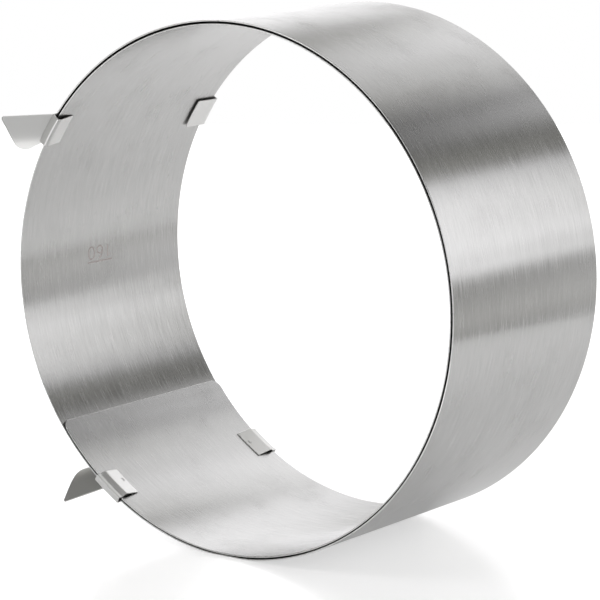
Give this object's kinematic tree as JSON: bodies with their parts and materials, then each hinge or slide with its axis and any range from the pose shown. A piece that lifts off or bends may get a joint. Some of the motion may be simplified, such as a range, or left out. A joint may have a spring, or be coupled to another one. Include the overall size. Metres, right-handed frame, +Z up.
{
  "type": "adjustable cake ring",
  "caption": "Springy sheet steel band rolled past itself into an open ring, with folded clips on both rims at each end and finger tabs for setting its size",
  "frame": {"origin": "the middle of the narrow level flat on the outside of the band that the ring stands on", "axes": "+Z up; the ring's axis lies along Y with the two finger tabs at the front rim, towards -Y; +X to the right seen from the front; the inner end of the band is at the lower left"},
  "size_m": [0.1767, 0.0919, 0.1746],
  "materials": {
    "band_steel": "satin stainless steel, brushed round the ring",
    "clip_steel": "smooth satin stainless steel, spot welded to the band"
  },
  "bodies": {
    "strip_01": {"band_strip_01": "band_steel"},
    "strip_02": {"band_strip_02": "band_steel", "inner_end_clip_front": "clip_steel", "inner_end_clip_back": "clip_steel"},
    "strip_03": {"band_strip_03": "band_steel"},
    "strip_04": {"band_strip_04": "band_steel"},
    "strip_05": {"band_strip_05": "band_steel"},
    "strip_06": {"band_strip_06": "band_steel"},
    "strip_07": {"band_strip_07": "band_steel"},
    "strip_08": {"band_strip_08": "band_steel"},
    "strip_09": {"band_strip_09": "band_steel"},
    "strip_10": {"band_strip_10": "band_steel"},
    "strip_11": {"band_strip_11": "band_steel"},
    "strip_12": {"band_strip_12": "band_steel"},
    "strip_13": {"band_strip_13": "band_steel"},
    "strip_14": {"band_strip_14": "band_steel"},
    "strip_15": {"band_strip_15": "band_steel"},
    "strip_16": {"band_strip_16": "band_steel"},
    "strip_17": {"band_strip_17": "band_steel"},
    "strip_18": {"band_strip_18": "band_steel"},
    "strip_19": {"band_strip_19": "band_steel"},
    "strip_20": {"band_strip_20": "band_steel"},
    "strip_21": {"band_strip_21": "band_steel"},
    "strip_22": {"band_strip_22": "band_steel"},
    "strip_23": {"band_strip_23": "band_steel"},
    "strip_24": {"band_strip_24": "band_steel"},
    "strip_25": {"band_strip_25": "band_steel"},
    "strip_26": {"band_strip_26": "band_steel"},
    "strip_27": {"band_strip_27": "band_steel"},
    "strip_28": {"band_strip_28": "band_steel"},
    "strip_29": {"band_strip_29": "band_steel"},
    "strip_30": {"band_strip_30": "band_steel"},
    "strip_31": {"band_strip_31": "band_steel"},
    "strip_32": {"band_strip_32": "band_steel"},
    "strip_33": {"band_strip_33": "band_steel"},
    "strip_34": {"band_strip_34": "band_steel"},
    "strip_35": {"band_strip_35": "band_steel"},
    "strip_36": {"band_strip_36": "band_steel"},
    "strip_37": {"band_strip_37": "band_steel"},
    "strip_38": {"band_strip_38": "band_steel"},
    "strip_39": {"band_strip_39": "band_steel"},
    "strip_40": {"band_strip_40": "band_steel"},
    "strip_41": {"band_strip_41": "band_steel"},
    "strip_42": {"band_strip_42": "band_steel"},
    "strip_43": {"band_strip_43": "band_steel", "outer_end_clip_front": "clip_steel", "outer_end_clip_back": "clip_steel"}
  },
  "joints": [
    {"name": "ring_opening", "type": "hinge", "parent": "strip_28", "child": "strip_29", "pos_m": [0.01149, 0, 0.00055], "axis": [0, 1, 0], "range_deg": [-0.94, 6.5]},
    {"name": "bend_30", "type": "hinge", "parent": "strip_29", "child": "strip_30", "pos_m": [0.03438, 0, 0.00681], "axis": [0, 1, 0], "range_deg": [-0.96, 6.61]},
    {"name": "bend_31", "type": "hinge", "parent": "strip_30", "child": "strip_31", "pos_m": [0.05473, 0, 0.01902], "axis": [0, 1, 0], "range_deg": [-0.96, 6.6]},
    {"name": "bend_32", "type": "hinge", "parent": "strip_31", "child": "strip_32", "pos_m": [0.07102, 0, 0.03627], "axis": [0, 1, 0], "range_deg": [-0.96, 6.59]},
    {"name": "bend_33", "type": "hinge", "parent": "strip_32", "child": "strip_33", "pos_m": [0.08206, 0, 0.05728], "axis": [0, 1, 0], "range_deg": [-0.96, 6.58]},
    {"name": "bend_34", "type": "hinge", "parent": "strip_33", "child": "strip_34", "pos_m": [0.08702, 0, 0.08049], "axis": [0, 1, 0], "range_deg": [-0.96, 6.57]},
    {"name": "bend_35", "type": "hinge", "parent": "strip_34", "child": "strip_35", "pos_m": [0.08554, 0, 0.10418], "axis": [0, 1, 0], "range_deg": [-0.96, 6.56]},
    {"name": "bend_36", "type": "hinge", "parent": "strip_35", "child": "strip_36", "pos_m": [0.07774, 0, 0.12659], "axis": [0, 1, 0], "range_deg": [-0.96, 6.55]},
    {"name": "bend_37", "type": "hinge", "parent": "strip_36", "child": "strip_37", "pos_m": [0.0642, 0, 0.14608], "axis": [0, 1, 0], "range_deg": [-0.95, 6.55]},
    {"name": "bend_38", "type": "hinge", "parent": "strip_37", "child": "strip_38", "pos_m": [0.04591, 0, 0.1612], "axis": [0, 1, 0], "range_deg": [-0.95, 6.54]},
    {"name": "bend_39", "type": "hinge", "parent": "strip_38", "child": "strip_39", "pos_m": [0.02423, 0, 0.17086], "axis": [0, 1, 0], "range_deg": [-0.95, 6.53]},
    {"name": "bend_40", "type": "hinge", "parent": "strip_39", "child": "strip_40", "pos_m": [0.00075, 0, 0.17433], "axis": [0, 1, 0], "range_deg": [-0.95, 6.52]},
    {"name": "bend_41", "type": "hinge", "parent": "strip_40", "child": "strip_41", "pos_m": [-0.0228, 0, 0.17138], "axis": [0, 1, 0], "range_deg": [-0.95, 6.51]},
    {"name": "bend_42", "type": "hinge", "parent": "strip_41", "child": "strip_42", "pos_m": [-0.04469, 0, 0.16222], "axis": [0, 1, 0], "range_deg": [-0.95, 6.5]},
    {"name": "bend_43", "type": "hinge", "parent": "strip_42", "child": "strip_43", "pos_m": [-0.06333, 0, 0.14753], "axis": [0, 1, 0], "range_deg": [-0.95, 6.5]},
    {"name": "bend_27", "type": "hinge", "parent": "strip_28", "child": "strip_27", "pos_m": [-0.01148, 0, 0.00061], "axis": [0, -1, 0], "range_deg": [-0.93, 6.35]},
    {"name": "bend_26", "type": "hinge", "parent": "strip_27", "child": "strip_26", "pos_m": [-0.03324, 0, 0.00652], "axis": [0, -1, 0], "range_deg": [-0.92, 6.3]},
    {"name": "bend_25", "type": "hinge", "parent": "strip_26", "child": "strip_25", "pos_m": [-0.05273, 0, 0.01783], "axis": [0, -1, 0], "range_deg": [-0.92, 6.31]},
    {"name": "bend_24", "type": "hinge", "parent": "strip_25", "child": "strip_24", "pos_m": [-0.06866, 0, 0.03378], "axis": [0, -1, 0], "range_deg": [-0.92, 6.32]},
    {"name": "bend_23", "type": "hinge", "parent": "strip_24", "child": "strip_23", "pos_m": [-0.07994, 0, 0.0533], "axis": [0, -1, 0], "range_deg": [-0.92, 6.32]},
    {"name": "bend_22", "type": "hinge", "parent": "strip_23", "child": "strip_22", "pos_m": [-0.0858, 0, 0.07507], "axis": [0, -1, 0], "range_deg": [-0.92, 6.33]},
    {"name": "bend_21", "type": "hinge", "parent": "strip_22", "child": "strip_21", "pos_m": [-0.08585, 0, 0.09761], "axis": [0, -1, 0], "range_deg": [-0.93, 6.34]},
    {"name": "bend_20", "type": "hinge", "parent": "strip_21", "child": "strip_20", "pos_m": [-0.08007, 0, 0.11939], "axis": [0, -1, 0], "range_deg": [-0.93, 6.35]},
    {"name": "bend_19", "type": "hinge", "parent": "strip_20", "child": "strip_19", "pos_m": [-0.06885, 0, 0.13895], "axis": [0, -1, 0], "range_deg": [-0.93, 6.36]},
    {"name": "bend_18", "type": "hinge", "parent": "strip_19", "child": "strip_18", "pos_m": [-0.05296, 0, 0.15494], "axis": [0, -1, 0], "range_deg": [-0.93, 6.37]},
    {"name": "bend_17", "type": "hinge", "parent": "strip_18", "child": "strip_17", "pos_m": [-0.03348, 0, 0.16627], "axis": [0, -1, 0], "range_deg": [-0.93, 6.37]},
    {"name": "bend_16", "type": "hinge", "parent": "strip_17", "child": "strip_16", "pos_m": [-0.01172, 0, 0.17217], "axis": [0, -1, 0], "range_deg": [-0.93, 6.38]},
    {"name": "bend_15", "type": "hinge", "parent": "strip_16", "child": "strip_15", "pos_m": [0.01082, 0, 0.17223], "axis": [0, -1, 0], "range_deg": [-0.93, 6.39]},
    {"name": "bend_14", "type": "hinge", "parent": "strip_15", "child": "strip_14", "pos_m": [0.0326, 0, 0.16644], "axis": [0, -1, 0], "range_deg": [-0.93, 6.4]},
    {"name": "bend_13", "type": "hinge", "parent": "strip_14", "child": "strip_13", "pos_m": [0.05214, 0, 0.1552], "axis": [0, -1, 0], "range_deg": [-0.94, 6.41]},
    {"name": "bend_12", "type": "hinge", "parent": "strip_13", "child": "strip_12", "pos_m": [0.06809, 0, 0.13927], "axis": [0, -1, 0], "range_deg": [-0.94, 6.42]},
    {"name": "bend_11", "type": "hinge", "parent": "strip_12", "child": "strip_11", "pos_m": [0.07935, 0, 0.11975], "axis": [0, -1, 0], "range_deg": [-0.94, 6.42]},
    {"name": "bend_10", "type": "hinge", "parent": "strip_11", "child": "strip_10", "pos_m": [0.08515, 0, 0.09797], "axis": [0, -1, 0], "range_deg": [-0.94, 6.43]},
    {"name": "bend_09", "type": "hinge", "parent": "strip_10", "child": "strip_09", "pos_m": [0.08508, 0, 0.07543], "axis": [0, -1, 0], "range_deg": [-0.94, 6.44]},
    {"name": "bend_08", "type": "hinge", "parent": "strip_09", "child": "strip_08", "pos_m": [0.07915, 0, 0.05368], "axis": [0, -1, 0], "range_deg": [-0.94, 6.45]},
    {"name": "bend_07", "type": "hinge", "parent": "strip_08", "child": "strip_07", "pos_m": [0.06775, 0, 0.03423], "axis": [0, -1, 0], "range_deg": [-0.94, 6.46]},
    {"name": "bend_06", "type": "hinge", "parent": "strip_07", "child": "strip_06", "pos_m": [0.05169, 0, 0.01843], "axis": [0, -1, 0], "range_deg": [-0.94, 6.46]},
    {"name": "bend_05", "type": "hinge", "parent": "strip_06", "child": "strip_05", "pos_m": [0.03205, 0, 0.00736], "axis": [0, -1, 0], "range_deg": [-0.94, 6.47]},
    {"name": "bend_04", "type": "hinge", "parent": "strip_05", "child": "strip_04", "pos_m": [0.01021, 0, 0.0018], "axis": [0, -1, 0], "range_deg": [-0.95, 6.48]},
    {"name": "bend_03", "type": "hinge", "parent": "strip_04", "child": "strip_03", "pos_m": [-0.01233, 0, 0.00215], "axis": [0, -1, 0], "range_deg": [-0.95, 6.49]},
    {"name": "bend_02", "type": "hinge", "parent": "strip_03", "child": "strip_02", "pos_m": [-0.034, 0, 0.00837], "axis": [0, -1, 0], "range_deg": [-0.95, 6.5]},
    {"name": "bend_01", "type": "hinge", "parent": "strip_02", "child": "strip_01", "pos_m": [-0.05328, 0, 0.02004], "axis": [0, -1, 0], "range_deg": [-0.95, 6.51]}
  ],
  "couplings": [
    {"joint": "bend_30", "follows": "ring_opening", "ratio": 1.0151},
    {"joint": "bend_31", "follows": "ring_opening", "ratio": 1.0137},
    {"joint": "bend_32", "follows": "ring_opening", "ratio": 1.0124},
    {"joint": "bend_33", "follows": "ring_opening", "ratio": 1.011},
    {"joint": "bend_34", "follows": "ring_opening", "ratio": 1.0097},
    {"joint": "bend_35", "follows": "ring_opening", "ratio": 1.0083},
    {"joint": "bend_36", "follows": "ring_opening", "ratio": 1.007},
    {"joint": "bend_37", "follows": "ring_opening", "ratio": 1.0057},
    {"joint": "bend_38", "follows": "ring_opening", "ratio": 1.0043},
    {"joint": "bend_39", "follows": "ring_opening", "ratio": 1.003},
    {"joint": "bend_40", "follows": "ring_opening", "ratio": 1.0016},
    {"joint": "bend_41", "follows": "ring_opening", "ratio": 1.0003},
    {"joint": "bend_42", "follows": "ring_opening", "ratio": 0.999},
    {"joint": "bend_43", "follows": "ring_opening", "ratio": 0.99768},
    {"joint": "bend_27", "follows": "ring_opening", "ratio": 0.97564},
    {"joint": "bend_26", "follows": "ring_opening", "ratio": 0.96771},
    {"joint": "bend_25", "follows": "ring_opening", "ratio": 0.96895},
    {"joint": "bend_24", "follows": "ring_opening", "ratio": 0.97019},
    {"joint": "bend_23", "follows": "ring_opening", "ratio": 0.97143},
    {"joint": "bend_22", "follows": "ring_opening", "ratio": 0.97268},
    {"joint": "bend_21", "follows": "ring_opening", "ratio": 0.97393},
    {"joint": "bend_20", "follows": "ring_opening", "ratio": 0.97518},
    {"joint": "bend_19", "follows": "ring_opening", "ratio": 0.97644},
    {"joint": "bend_18", "follows": "ring_opening", "ratio": 0.9777},
    {"joint": "bend_17", "follows": "ring_opening", "ratio": 0.97896},
    {"joint": "bend_16", "follows": "ring_opening", "ratio": 0.98022},
    {"joint": "bend_15", "follows": "ring_opening", "ratio": 0.98149},
    {"joint": "bend_14", "follows": "ring_opening", "ratio": 0.98276},
    {"joint": "bend_13", "follows": "ring_opening", "ratio": 0.98404},
    {"joint": "bend_12", "follows": "ring_opening", "ratio": 0.98531},
    {"joint": "bend_11", "follows": "ring_opening", "ratio": 0.98659},
    {"joint": "bend_10", "follows": "ring_opening", "ratio": 0.98788},
    {"joint": "bend_09", "follows": "ring_opening", "ratio": 0.98916},
    {"joint": "bend_08", "follows": "ring_opening", "ratio": 0.99045},
    {"joint": "bend_07", "follows": "ring_opening", "ratio": 0.99174},
    {"joint": "bend_06", "follows": "ring_opening", "ratio": 0.99304},
    {"joint": "bend_05", "follows": "ring_opening", "ratio": 0.99434},
    {"joint": "bend_04", "follows": "ring_opening", "ratio": 0.99564},
    {"joint": "bend_03", "follows": "ring_opening", "ratio": 0.99694},
    {"joint": "bend_02", "follows": "ring_opening", "ratio": 0.99825},
    {"joint": "bend_01", "follows": "ring_opening", "ratio": 0.99956}
  ]
}
